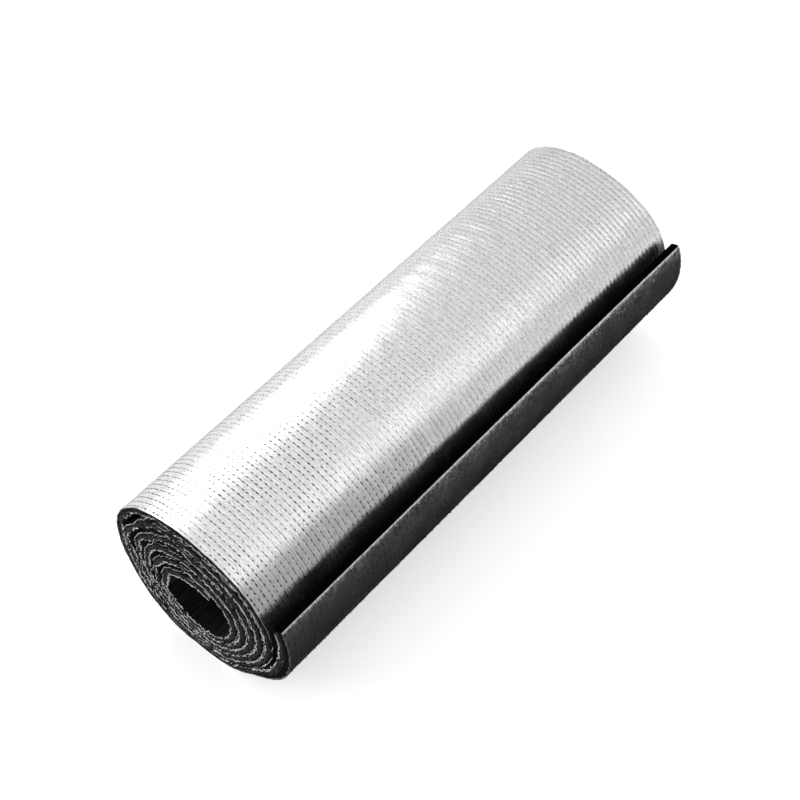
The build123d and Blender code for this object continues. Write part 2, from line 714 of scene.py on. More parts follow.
@dataclass(frozen=True)
class WrinkledFoil:
    """Aluminium foil laminated to glass cloth: bright metal, blurred by fine wrinkles.

    Attributes:
        bright: The metal's colour where it lies smooth.
        wrinkle_dust_and_shade: Its colour in the low spots of the fine wrinkles, partly dust and partly
            painted shade.
        grazing: Its tint at a glancing angle, where lacquered foil turns a little grey.
        row: Colour of the painted shade along each needled row's groove, where the foil is pulled into the
            felt.
        row_pitch: Distance from one needled row to the next, 99 of them in 500 mm.
        row_width: Half the width of that darker line.
        row_strength: How much of it shows at the front, and from the middle to the back.
        row_calmed: How much of that is left where the rows are hardly pulled in.
        broken: Length and width of the stretches in which the line shows or doesn't.
        roughness: Least and most, from patch to patch.
        grain: Size of the finest wrinkles.
        streak: Length and width of the fine wrinkles that run along with the rows.
        crease: Length and width of the sharper creases, where the foil is crumpled.
        patch: Size of the patches that are rougher than others.
        relief: How deep the grain and the streaks are.
        crease_depth: How deep the creases are.
    """

    name: str = "aluminium_foil"
    bright: str = "#e6e6e6"
    wrinkle_dust_and_shade: str = "#c2c2c2"
    grazing: str = "#c8c8c8"
    row: str = "#8e8e8e"
    row_pitch: float = 5.05 * MM
    row_width: float = 0.55 * MM
    row_strength: tuple[float, float] = (0.42, 0.3)
    row_calmed: float = 0.25
    broken: tuple[float, float] = (11 * MM, 5 * MM)
    roughness: tuple[float, float] = (0.20, 0.32)
    grain: float = 1.6 * MM
    streak: tuple[float, float] = (6 * MM, 1.4 * MM)
    crease: tuple[float, float] = (9 * MM, 3.5 * MM)
    patch: float = 38 * MM
    relief: float = 0.17 * MM
    crease_depth: float = 1.1 * MM

    @staticmethod
    def spots(tree: bpy.types.NodeTree, flat: bpy.types.NodeSocket, size: tuple[float, float],
              detail: float) -> bpy.types.NodeSocket:
        """Adds noise whose spots are that long and that wide on the flat mat.

        Args:
            tree: The material's node tree.
            flat: The flat mat's coordinates in metres.
            size: Length and width of a spot.
            detail: How many finer layers it has.

        Returns:
            The noise's value.
        """
        scaled = add_node(tree, "ShaderNodeMapping",
                          {"Scale": (1 / size[0], 1 / size[1], 1), "Vector": flat})
        return noise(tree, scaled.outputs["Vector"], 1.0, detail, 0.6)

    def wrinkles(self, tree: bpy.types.NodeTree, flat: bpy.types.NodeSocket) -> bpy.types.NodeSocket:
        """Adds the fine grain and the streaks.

        Args:
            tree: The material's node tree.
            flat: The flat mat's coordinates in metres.

        Returns:
            Their height, about 0.5 on average.
        """
        grain = self.spots(tree, flat, (self.grain, self.grain), 2.0)
        streaks = self.spots(tree, flat, self.streak, 3.0)
        return calculated(tree, "MULTIPLY_ADD", grain, 0.45,
                          calculated(tree, "MULTIPLY", streaks, 0.55))

    def painted_row_shade(self, tree: bpy.types.NodeTree, flat: bpy.types.NodeSocket) -> bpy.types.NodeSocket:
        """Adds the thin line of painted shade along each needled row's groove, which fades towards the
        back end.

        Args:
            tree: The material's node tree.
            flat: The flat mat's coordinates in metres.

        Returns:
            0 away from a row, and on it how much the line shows.
        """
        across = add_node(tree, "ShaderNodeSeparateXYZ", {"Vector": flat}).outputs["Y"]
        off_row = calculated(tree, "PINGPONG",
                             calculated(tree, "MULTIPLY", across, 1 / self.row_pitch), 0.5)
        width = self.row_width / self.row_pitch
        line = mapped(tree, off_row, (0.3 * width, 1.3 * width), (1.0, 0.0),
                      interpolation_type="SMOOTHSTEP")
        calm = add_node(tree, "ShaderNodeAttribute", attribute_name="calm").outputs["Fac"]
        for share in (mapped(tree, across, (-0.15, 0.05), self.row_strength),
                      mapped(tree, self.spots(tree, flat, self.broken, 2.0), (0.38, 0.6)),
                      mapped(tree, calm, (0.0, 1.0), (1.0, self.row_calmed))):
            line = calculated(tree, "MULTIPLY", line, share)
        return line

    def material(self) -> bpy.types.Material:
        """Makes the material.

        Returns:
            The new material, which reads the piece's own UV map, whose unit is a metre, and its
            crumpled and calm attributes.
        """
        made, tree, shader = new_finish(self.name, {"Metallic": 1.0,
                                                    "Specular Tint": linear(self.grazing)})
        flat = add_node(tree, "ShaderNodeUVMap", uv_map="flat_mat").outputs["UV"]
        wrinkles = self.wrinkles(tree, flat)
        # The wrinkles' low spots turn darker: partly dust, partly painted shade
        foil = ramp(tree, wrinkles, (0.38, self.wrinkle_dust_and_shade), (0.56, self.bright))
        # Painted shade: the row colour darkens the foil along each needled row's groove
        colour = add_node(tree, "ShaderNodeMix", {0: self.painted_row_shade(tree, flat), 6: foil,
                                                  7: linear(self.row)}, data_type="RGBA")
        patches = self.spots(tree, flat, (self.patch, self.patch), 3.0)
        crumpled = add_node(tree, "ShaderNodeAttribute", attribute_name="crumpled").outputs["Fac"]
        creases = self.spots(tree, flat, self.crease, 4.0)
        ridge = calculated(tree, "MULTIPLY", creases, crumpled)
        fine = bumped(tree, wrinkles, self.relief)
        feed(tree, shader, {"Base Color": colour.outputs[2],
                            "Roughness": mapped(tree, patches, (0.3, 0.7), self.roughness),
                            "Normal": bumped(tree, ridge, self.crease_depth, Normal=fine)})
        return made


@dataclass(frozen=True)
class LooseFibre:
    """A plain fibre finish for tufts and frayed threads.

    Attributes:
        uneven: The darkest and the palest that it gets, as shares of its colour.
        spread: Size of the darker and paler places.
    """

    name: str
    colour: str
    uneven: tuple[float, float] = (0.35, 1.3)
    spread: float = 4 * MM
    roughness: float = 0.8
    shine: float = 0.3

    def material(self) -> bpy.types.Material:
        """Makes the material, a little uneven from fibre to fibre.

        Returns:
            The new material.
        """
        made, tree, shader = new_finish(self.name, {"Roughness": self.roughness,
                                                    "Specular IOR Level": self.shine})
        place = add_node(tree, "ShaderNodeTexCoord").outputs["Object"]
        shade = mapped(tree, noise(tree, place, 1 / self.spread, 2.0), (0.3, 0.7), self.uneven)
        colour = add_node(tree, "ShaderNodeMix", {0: 1.0, 6: linear(self.colour), 7: shade},
                          data_type="RGBA", blend_type="MULTIPLY")
        feed(tree, shader, {"Base Color": colour.outputs[2]})
        return made


FELT_TUFT = LooseFibre("felt_tuft", "#161617")
FRAYED_THREAD = LooseFibre("frayed_thread", "#f4f4f4", uneven=(0.55, 1.08))
CUT_FIBRE = LooseFibre("cut_fibre", "#8a8a8a")

# Where handling has crumpled the foil: length of mat from where the last turn shows, place across,
# reach each way, all in millimetres, and how crumpled it is
CRUMPLED_SPOTS = ((150, -225, 26, 20, 1.0), (165, -180, 22, 40, 0.5), (26, -215, 12, 22, 0.6),
                  (22, -150, 10, 26, 0.5), (100, 60, 22, 30, 0.25), (150, 190, 30, 60, 0.35),
                  (470, -200, 25, 30, 0.6), (400, 120, 30, 50, 0.5))


@dataclass
class WoundMat:
    """The mat's two bonded sheets, each rolled up from a flat grid.

    Attributes:
        winding: The section that both are wound to.
        rows: How many needled rows cross the width.
        felt_step: Length of one of the felt's faces along the mat.
        felt_layers: Faces through the felt, on its cut edges.
        felt_places: Where its points lie across the width, in from each end.
        inner_step: Length of one of the foil's faces, in the turns that are hidden.
        outer_step: The same in the last turn, whose foil shows.
        coarse_rows: Faces across the foil's width, before the last turn is cut finely.
    """

    winding: Winding
    rows: int = 99
    felt_step: float = 1.6 * MM
    felt_layers: int = 6
    felt_places: tuple[float, ...] = (0, 0.4, 1.4, 4, 10, 25, 60, 130, 250)   # millimetres
    inner_step: float = 1.4 * MM
    outer_step: float = 5.0 * MM
    coarse_rows: int = 11
    groove_depth: float = 0.17 * MM
    groove_width: float = 0.9 * MM
    slack_foil: Ripples = Ripples(seed=12, shortest=14 * MM, longest=60 * MM)
    slack_foil_height: float = 0.12 * MM
    foil_setback: float = 1.6 * MM   # of the hidden turns' foil, from the roll's ends
    under_foil: float = 0.5 * MM     # the felt's face lies this far under the foil's
    lip_width: float = 1.7 * MM      # of the foil's free edge, which the cut bent in a little
    lip_depth: float = 0.5 * MM
    ragged_height: float = 0.25 * MM    # of the foil's cut ends
    back_setback: float = 1.1 * MM      # of the foil at the back end
    crinkle_height: float = 0.55 * MM   # of the hidden foil's cut edges, in and out
    crinkle_reach: float = 4 * MM
    crumpled_edge: tuple[float, float, float] = (518, 30, 1.2)   # millimetres, over how many, how much
    cut_setback: float = 0.4 * MM       # of the felt's cut faces from the roll's ends
    cut_rounding: float = 0.9 * MM      # how much further back their corners are
    back_rounding: float = 0.3 * MM     # the same for the outer corners at the back end
    cut_reach: float = 10 * MM          # how far in the felt's points move along
    lump_height: float = 0.35 * MM      # of the small lumps on the cut faces
    wander_height: float = 0.7 * MM     # of the slow waves in where they are cut
    calm_middle: float = 10 * MM        # where across the width the rows are calmest
    calm_reach: float = 130 * MM
    turns_at: np.ndarray = field(init=False)
    lengths_at: np.ndarray = field(init=False)

    def __post_init__(self) -> None:
        """Measures the flat mat once, for every method to use."""
        self.turns_at, self.lengths_at = self.winding.unrolled()

    @property
    def length(self) -> float:
        """Gives the flat mat's length."""
        return float(self.lengths_at[-1])

    @property
    def row_pitch(self) -> float:
        """Gives the distance from one needled row to the next."""
        return self.winding.roll_width / self.rows

    def turn_of(self, along: np.ndarray) -> np.ndarray:
        """Gives the turn at each length of mat."""
        return np.interp(along, self.lengths_at, self.turns_at)

    def along_of(self, turn: float) -> float:
        """Gives the length of mat at a turn."""
        return float(np.interp(turn, self.turns_at, self.lengths_at))

    def in_last(self, turn: np.ndarray) -> np.ndarray:
        """Gives 0 in the turns whose foil is hidden, and 1 in the last."""
        return ease((turn - self.winding.turns + 1.1) / 0.1)

    def unwrap_flat(self, mesh: bpy.types.Mesh, along: np.ndarray, across: np.ndarray) -> None:
        """Gives the piece a UV map of the flat mat, in metres.

        Args:
            mesh: The piece's mesh.
            along: Length of mat at each point.
            across: Place across the width at each point.
        """
        corners = corner_points(mesh)
        flat = np.stack([along[corners], across[corners]], -1)
        layer = mesh.uv_layers.new(name="flat_mat")
        layer.data.foreach_set("uv", flat.ravel())

    def felt(self) -> bpy.types.Object:
        """Winds the felt, with its cut ends uneven and soft at their corners.

        Returns:
            The finished piece.
        """
        winding = self.winding
        across_places = np.array(self.felt_places) * MM
        half = winding.roll_width / 2
        across_list = np.concatenate([across_places - half, (half - across_places)[-2::-1]])
        columns, rows = round(self.length / self.felt_step), len(across_list) - 1
        piece = flat_grid("felt_mat_wound", columns, rows)
        thicken(self.felt_layers)
        set_coordinates(piece.data, coordinates(piece.data) + (0.5, 0.5, 0))
        slab = coordinates(piece.data)
        along = slab[:, 0] * self.length
        across = np.interp(slab[:, 1] * rows, np.arange(rows + 1), across_list)
        share = slab[:, 2]
        along = winding.shortened(along, across, share, self.length)
        turn = self.turn_of(along)
        under = 1 - self.under_foil / winding.wound_thickness * share
        points = winding.place(turn, along, across, share * under, 0 * share)
        points[:, 1] = self.cut_face(along, across, share)
        self.unwrap_flat(piece.data, along, across)
        # The last turn's cut face gets a wider band of painted shade, most of all on top, where its felt
        # lies in shadow
        painted_shade_on_top = ease((np.cos(winding.angle_at(turn) - radians(60)) + 0.2) / 0.6)
        store(piece.data, "depth", share + self.in_last(turn) * (0.03 + 0.21 * painted_shade_on_top))
        finished(piece, points, NeedledFelt(), CutFelt(), PaintedShadeEdge())
        self.mark_cut_faces(piece.data, slab)
        return piece

    def cut_face(self, along: np.ndarray, across: np.ndarray, share: np.ndarray) -> np.ndarray:
        """Sets the felt back from the roll's ends, more at its corners than in its middle.

        Args:
            along: Length of mat at each point.
            across: Place across the width.
            share: How far through the felt.

        Returns:
            The places across the width with the set-back ends.
        """
        side = np.sign(across)
        near_end = ease(1 - self.winding.to_end(across) / self.cut_reach)
        outer_back = (across > 0) & (share > 0.5)
        rounded = np.where(outer_back, self.back_rounding, self.cut_rounding)
        rounded = rounded * np.abs(2 * share - 1) ** 3
        lumps = Ripples(seed=21, shortest=3 * MM, longest=12 * MM)
        uneven = self.lump_height * lumps.at(along, share * 9 * MM + side)
        slow = Ripples(seed=22, shortest=60 * MM, longest=300 * MM)
        wander = self.wander_height * slow.at(along, side)
        setback = self.cut_setback + rounded + uneven + np.abs(wander)
        return across - side * near_end * np.maximum(setback, 0)

    @staticmethod
    def mark_cut_faces(mesh: bpy.types.Mesh, slab: np.ndarray) -> None:
        """Gives the cut finish to the roll's two ends and the painted-shade finish to the free end.

        Args:
            mesh: The wound piece's mesh.
            slab: The points of the flat slab it came from.
        """
        faces = slab[corner_points(mesh).reshape(-1, 4)]
        across = faces[:, :, 1]
        at_end = (across.max(1) < TINY) | (across.min(1) > 1 - TINY)
        free_end = faces[:, :, 0].min(1) > 1 - TINY
        mesh.polygons.foreach_set("material_index", (at_end + 2 * free_end).astype(np.int32))

    def foil(self) -> bpy.types.Object:
        """Winds the foil, with a shallow groove along each needled row of the last turn.

        Returns:
            The finished piece.
        """
        winding = self.winding
        start = self.along_of(winding.turns - 1.04)
        inner_columns = round(start / self.inner_step)
        outer_columns = round((self.length - start) / self.outer_step)
        columns = inner_columns + outer_columns
        split = inner_columns / columns
        piece = flat_grid("foil_facing_wound", columns, self.coarse_rows)
        self.cut_across(piece, split - 0.5, self.rows * 3 // self.coarse_rows)
        thicken(1)
        slab = coordinates(piece.data) + (0.5, 0.5, 0)
        column = 1 / columns
        # The last three columns crowd together at the free edge, where the lip bends
        lip = self.lip_width * np.array([2.5, 1, 0.5, 0])
        along = np.interp(slab[:, 0], [0, split, *(1 - column * np.arange(3, -1, -1))],
                          [0, start, *(self.length - lip)])
        across = self.grooved_places(slab[:, 1])
        to_free_end = self.length - along
        along = winding.shortened(along, across, np.ones(len(slab)), self.length)
        turn = self.turn_of(along)
        hidden = 1 - self.in_last(turn)
        across = self.foil_ends(along, across, hidden)
        lift = self.relief(turn, along, across) + hidden * self.crinkle(along, across)
        lift -= self.lip_depth * np.maximum(1 - to_free_end / self.lip_width, 0) ** 2
        points = winding.place(turn, along, across, np.ones(len(slab)), slab[:, 2], lift)
        self.unwrap_flat(piece.data, along, across)
        store(piece.data, "crumpled", self.crumpled(along - start, across))
        store(piece.data, "calm", self.calm(turn, across))
        return finished(piece, points, WrinkledFoil())

    def grooved_places(self, share: np.ndarray) -> np.ndarray:
        """Spaces points across the width so that three fall on each row's narrow groove.

        Args:
            share: Even places across the width, from 0 to 1.

        Returns:
            The places in metres from the middle.
        """
        middles = (np.arange(self.rows) + 0.5) * self.row_pitch
        sides = middles[:, None] + np.array([-1, 0, 1]) * self.groove_width
        places = np.concatenate([[0], sides.ravel()[1:], [self.winding.roll_width]])
        return np.interp(share * (len(places) - 1), np.arange(len(places)),
                         places) - self.winding.roll_width / 2

    def foil_ends(self, along: np.ndarray, across: np.ndarray, hidden: np.ndarray) -> np.ndarray:
        """Cuts the foil's ends raggedly, and further back in the turns that are hidden.

        Args:
            along: Length of mat at each point.
            across: Place across the width.
            hidden: 1 in the hidden turns and 0 in the last.

        Returns:
            The places across the width with the cut ends.
        """
        half = self.winding.roll_width / 2
        ragged = Ripples(seed=15, shortest=3 * MM, longest=26 * MM).at(along, np.sign(across))
        setback = self.ragged_height * (1 + ragged) + self.back_setback * (across > 0)
        setback += hidden * self.foil_setback * np.clip(0.35 + 0.9 * ragged, 0.05, 2)
        return np.clip(across, setback - half, half - setback)

    def crinkle(self, along: np.ndarray, across: np.ndarray) -> np.ndarray:
        """Bends the hidden foil's cut edges in and out.

        Args:
            along: Length of mat at each point.
            across: Place across the width.

        Returns:
            How far each point moves outwards.
        """
        to_end = np.maximum(self.winding.to_end(across), 0)
        waves = Ripples(seed=17, shortest=3 * MM, longest=11 * MM, crosswise=0.2)
        return self.crinkle_height * waves.at(along, across) * np.exp(-to_end / self.crinkle_reach)

    def crumpled(self, from_start: np.ndarray, across: np.ndarray) -> np.ndarray:
        """Marks the foil that is crumpled: a few spots of the last turn, and its free edge.

        Args:
            from_start: Length of mat from where the last turn shows.
            across: Place across the width.

        Returns:
            How crumpled each point is, 0 where it is smooth.
        """
        total = np.zeros(from_start.shape)
        for length, width, long, wide, most in CRUMPLED_SPOTS:
            off = ((from_start / MM - length) / long) ** 2 + ((across / MM - width) / wide) ** 2
            total = np.maximum(total, most * np.exp(-off))
        begins, over, most = self.crumpled_edge
        return np.maximum(total, most * ease((from_start / MM - begins) / over))

    @staticmethod
    def cut_across(piece: bpy.types.Object, beyond: float, cuts: int) -> None:
        """Cuts the last turn's faces finely across the width.

        Args:
            piece: The flat grid.
            beyond: Faces past this x are cut.
            cuts: How many faces each one becomes.
        """
        bpy.ops.object.mode_set(mode="EDIT")
        bpy.ops.mesh.select_mode(type="EDGE")
        bpy.ops.mesh.select_all(action="DESELECT")
        bpy.ops.object.mode_set(mode="OBJECT")
        mesh = piece.data
        points = coordinates(mesh)
        for edge in mesh.edges:
            first, second = (points[end] for end in edge.vertices)
            edge.select = bool(abs(first[0] - second[0]) < TINY and first[0] > beyond - TINY)
        bpy.ops.object.mode_set(mode="EDIT")
        bpy.ops.mesh.subdivide(number_cuts=cuts - 1)
        bpy.ops.object.mode_set(mode="OBJECT")

    def calm(self, turn: np.ndarray, across: np.ndarray) -> np.ndarray:
        """Marks the part of the last turn where the rows are hardly pulled in.

        Args:
            turn: Turns from the mat's inner end.
            across: Place across the width.

        Returns:
            1 where the foil is calmest, beyond the top of the roll, and 0 elsewhere.
        """
        angle = (np.degrees(self.winding.inner_end_angle) + 360 * turn) % 360
        beyond = ease((angle - 85) / 30) * (1 - ease((angle - 190) / 30))
        return beyond * np.exp(-((across - self.calm_middle) / self.calm_reach) ** 2)

    def relief(self, turn: np.ndarray, along: np.ndarray, across: np.ndarray) -> np.ndarray:
        """Gives the foil's low relief: a groove at each needled row, and slack between them.

        Args:
            turn: Turns from the mat's inner end.
            along: Length of mat at each point.
            across: Place across the width.

        Returns:
            How far the foil stands out of its even face.
        """
        shown = ease((turn - self.winding.turns + 1.02) / 0.01)
        # The grooves are shallowest in the middle of the roll and deepest at the back
        deep = 0.75 - 0.3 * ease((across / MM + 190) / 100) + 0.95 * ease((across / MM - 50) / 120)
        deep *= 1 - 0.8 * self.calm(turn, across)
        row = (across + self.winding.roll_width / 2) / self.row_pitch - 0.5
        off_row = np.abs(row - np.round(row)) * self.row_pitch
        groove = -self.groove_depth * deep * np.maximum(1 - off_row / self.groove_width, 0)
        slack = self.slack_foil_height * self.slack_foil.at(along, across)
        return shown * (groove + slack)


@dataclass
class Fibres:
    """Small fibres that stand on the mat, each kind made once and copied into one mesh.

    Attributes:
        mat: The mat that they stand on.
        tuft_pitch: Distance from one tuft to the next along a row.
        tuft_length: Length of a tuft, on average.
        tuft_width: Its width.
        thread_step: Distance from one frayed thread to the next, where none is missing.
        thread_sizes: Least and most of the threads' length, width and thickness, in millimetres.
        hairs: How many hairs stand out of the last turn's rim, at each end.
        hair_sizes: Their sizes, as the threads'.
        fibres: How many short fibres lie on the cut face, at each end.
        fibre_sizes: Their sizes, as the threads'.
        worn: Where the tufts are smaller.
    """

    mat: WoundMat
    tuft_pitch: float = 4.85 * MM
    tuft_length: float = 3.5 * MM
    tuft_width: float = 1.25 * MM
    thread_step: float = 1.1 * MM
    thread_sizes: tuple = ((1.8, 5.2), (0.5, 1.05), (0.5, 0.9))
    hairs: int = 900
    hair_sizes: tuple = ((1.0, 2.6), (0.2, 0.5), (0.2, 0.4))
    fibres: int = 2400
    fibre_sizes: tuple = ((0.7, 2.6), (0.12, 0.42), (0.12, 0.3))
    worn: Ripples = Ripples(seed=33, shortest=50 * MM, longest=160 * MM)

    @staticmethod
    def drawn_sizes(draw: np.random.Generator, count: int, spans: tuple) -> np.ndarray:
        """Draws each fibre's length, width and thickness from their spans in millimetres."""
        return np.stack([draw.uniform(least, most, count) for least, most in spans], -1) * MM

    @staticmethod
    def facing(side: Side, count: int) -> np.ndarray:
        """Gives the direction out of one end of the roll, once for each fibre."""
        return np.tile([0.0, float(side.value), 0.0], (count, 1))

    @staticmethod
    def spindle() -> tuple[np.ndarray, np.ndarray]:
        """Models one fibre, a spindle of unit length and width that tapers to both ends.

        Returns:
            Its points and its triangles.
        """
        bpy.ops.object.select_all(action="DESELECT")
        bpy.ops.mesh.primitive_uv_sphere_add(segments=4, ring_count=3, radius=0.5, calc_uvs=False)
        piece = bpy.context.object
        ball = coordinates(piece.data)
        waist = np.abs(ball[:, 2]) < 0.49
        ball[waist] = ball[waist] * (1.15, 1.15, 0)
        set_coordinates(piece.data, ball)
        bpy.ops.object.mode_set(mode="EDIT")
        bpy.ops.mesh.select_all(action="SELECT")
        bpy.ops.mesh.remove_doubles(threshold=0.01)
        bpy.ops.object.mode_set(mode="OBJECT")
        points = coordinates(piece.data)
        faces = np.array([list(face.vertices) for face in piece.data.polygons])
        bpy.data.objects.remove(piece)
        return points, faces

    def scatter(self, name: str, middles: np.ndarray, lengthwise: np.ndarray,
                outwards: np.ndarray, sizes: np.ndarray, finish: LooseFibre) -> bpy.types.Object:
        """Copies the spindle to many places in one mesh.

        Args:
            name: The piece's name.
            middles: Each fibre's middle.
            lengthwise: Each fibre's direction.
            outwards: The side that each fibre's thickness is measured towards.
            sizes: Length, width and thickness of each.
            finish: What it is made of.

        Returns:
            The finished piece.
        """
        shape, faces = self.spindle()
        long = unit(lengthwise)
        side = unit(np.cross(outwards, long))
        up = np.cross(long, side)
        axes = np.stack([side * sizes[:, 1:2], up * sizes[:, 2:3], long * sizes[:, :1]], 1)
        points = middles[:, None, :] + shape[None] @ axes
        joined = faces[None] + (np.arange(len(middles)) * len(shape))[:, None, None]
        mesh = bpy.data.meshes.new(name)
        mesh.from_pydata(points.reshape(-1, 3).tolist(), [], joined.reshape(-1, 3).tolist())
        mesh.materials.append(finish.material())
        piece = bpy.data.objects.new(name, mesh)
        bpy.context.scene.collection.objects.link(piece)
        return piece

    def tufts(self) -> bpy.types.Object:
        """Sets a dark tuft of felt in each needle slit of the foil that shows.

        Returns:
            The finished piece.
        """
        mat, winding = self.mat, self.mat.winding
        draw = np.random.default_rng(31)
        start = mat.along_of(winding.turns - 1.0)
        stitches = np.arange(start + 4 * MM, mat.length - 3 * MM, self.tuft_pitch)
        rows = (np.arange(mat.rows) + 0.5) * mat.row_pitch - winding.roll_width / 2
        along, across = (grid.ravel() for grid in np.meshgrid(stitches, rows))
        along = along + draw.uniform(-0.6, 0.6, along.size) * MM
        along += np.repeat(draw.uniform(-0.9, 0.9, mat.rows) * MM, stitches.size)
        across = across + draw.normal(0, 0.06, along.size) * MM
        on_flap = mat.turn_of(along) > winding.turns - 0.2
        kept = draw.random(along.size) < np.where(on_flap, 0.4, 0.95)
        along, across = np.clip(along[kept], start + 2 * MM, mat.length - 2 * MM), across[kept]
        count = along.size
        lift = mat.relief(mat.turn_of(along), along, across) + 0.06 * MM
        ones = np.ones(count)
        here = winding.place(mat.turn_of(along), along, across, ones, ones, lift)
        on = along + 0.5 * MM
        ahead = winding.place(mat.turn_of(on), on, across, ones, ones, lift)
        forward = ahead - here
        outwards = np.cross(np.tile([0.0, 1.0, 0.0], (count, 1)), forward)
        forward[:, 1] += draw.normal(0, 0.06, count) * np.linalg.norm(forward, axis=1)
        faded = 1 - 0.6 * ease((across + 170 * MM) / (200 * MM))
        lengths = self.tuft_length * draw.uniform(0.7, 1.25, count) * (0.35 + 0.65 * faded)
        faded *= np.clip(0.8 + 0.5 * self.worn.at(along, across), 0.25, 1)
        faded *= 1 - 0.65 * mat.calm(mat.turn_of(along), across)
        underneath = ease(-outwards[:, 2] / np.linalg.norm(outwards, axis=1) / 0.4)
        sizes = np.stack([lengths, self.tuft_width * draw.uniform(0.7, 1.2, count) * faded,
                          (0.35 + 1.7 * underneath * draw.random(count)) * MM], -1)
        off_floor = here[:, 2] > 1.5 * MM
        return self.scatter("needled_tufts", here[off_floor], forward[off_floor],
                            outwards[off_floor], sizes[off_floor], FELT_TUFT)

    def fray(self, side: Side) -> bpy.types.Object:
        """Lays pale frayed threads along the felt's inner edge at one end of the roll.

        Args:
            side: Which end.

        Returns:
            The finished piece.
        """
        mat, winding = self.mat, self.mat.winding
        draw = np.random.default_rng(40 + side.value)
        along = np.arange(1 * MM, mat.length - 1 * MM, self.thread_step)
        along = along + draw.uniform(-1, 1, along.size) * MM
        broken = Ripples(seed=44 + side.value, shortest=12 * MM, longest=60 * MM)
        # Near the bore, hardly any are missing
        whole = 1.5 * (1 - ease(along / (150 * MM)))
        along = along[broken.at(along, 0 * along) + whole + draw.normal(0, 0.5, along.size) > -0.45]
        along = np.clip(along, 0.5 * MM, mat.length - 0.5 * MM)
        count = along.size
        across = side.value * (winding.roll_width / 2) * np.ones(count)
        share = np.clip(draw.normal(0.05, 0.05, count), -0.02, 0.3)
        nothing = np.zeros(count)
        here = winding.place(mat.turn_of(along), along, across, share, nothing)
        here[:, 1] = mat.cut_face(along, across, share) + side.value * 0.15 * MM
        on = np.minimum(along + 0.5 * MM, mat.length)
        ahead = winding.place(mat.turn_of(on), on, across, share, nothing)
        forward = ahead - here
        forward[:, 1] = 0
        forward = unit(forward) + draw.normal(0, 0.3, (count, 3))
        sizes = self.drawn_sizes(draw, count, self.thread_sizes)
        return self.scatter(f"frayed_edge_{side.name.lower()}", here, forward,
                            self.facing(side, count), sizes, FRAYED_THREAD)

    def rim_hairs(self, side: Side, draw: np.random.Generator) -> tuple[np.ndarray, ...]:
        """Places the hairs that stand out of the last turn's rim at one end of the roll.

        Args:
            side: Which end.
            draw: The random numbers to draw from.

        Returns:
            The hairs' middles, their directions and their sizes.
        """
        mat, winding, count = self.mat, self.mat.winding, self.hairs
        along = draw.uniform(mat.along_of(winding.turns - 0.8), mat.length - 4 * MM, count)
        across = side.value * (winding.roll_width / 2 - draw.uniform(0, 1.2, count) * MM)
        share = draw.uniform(0.9, 1.02, count)
        turn, nothing = mat.turn_of(along), np.zeros(count)
        here = winding.place(turn, along, across, share, nothing)
        inside = winding.place(turn, along, across, share - 0.2, nothing)
        forward = unit(here - inside) + draw.normal(0, 0.6, (count, 3))
        sizes = self.drawn_sizes(draw, count, self.hair_sizes)
        clear = here[:, 2] > 3 * MM
        return here[clear], forward[clear], sizes[clear]

    def fuzz(self, side: Side) -> bpy.types.Object:
        """Strews short fibres over the felt's cut face at one end of the roll.

        Args:
            side: Which end.

        Returns:
            The finished piece.
        """
        mat, winding, count = self.mat, self.mat.winding, self.fibres
        draw = np.random.default_rng(60 + side.value)
        along = draw.uniform(1 * MM, mat.length - 1 * MM, count)
        across = side.value * (winding.roll_width / 2) * np.ones(count)
        outer_turn = mat.turn_of(along) > winding.turns - 1.05
        share = draw.uniform(0.03, 0.76, count) * np.where(outer_turn, 0.7, 1)
        here = winding.place(mat.turn_of(along), along, across, share * 0.94, np.zeros(count))
        here[:, 1] = mat.cut_face(along, across, share) + side.value * 0.1 * MM
        forward = draw.normal(0, 1, (count, 3)) * (1, 0.25, 1)
        sizes = self.drawn_sizes(draw, count, self.fibre_sizes)
        here, forward, sizes = (np.concatenate(both) for both in
                                zip((here, forward, sizes), self.rim_hairs(side, draw)))
        return self.scatter(f"cut_fibres_{side.name.lower()}", here, forward,
                            self.facing(side, len(here)), sizes, CUT_FIBRE)


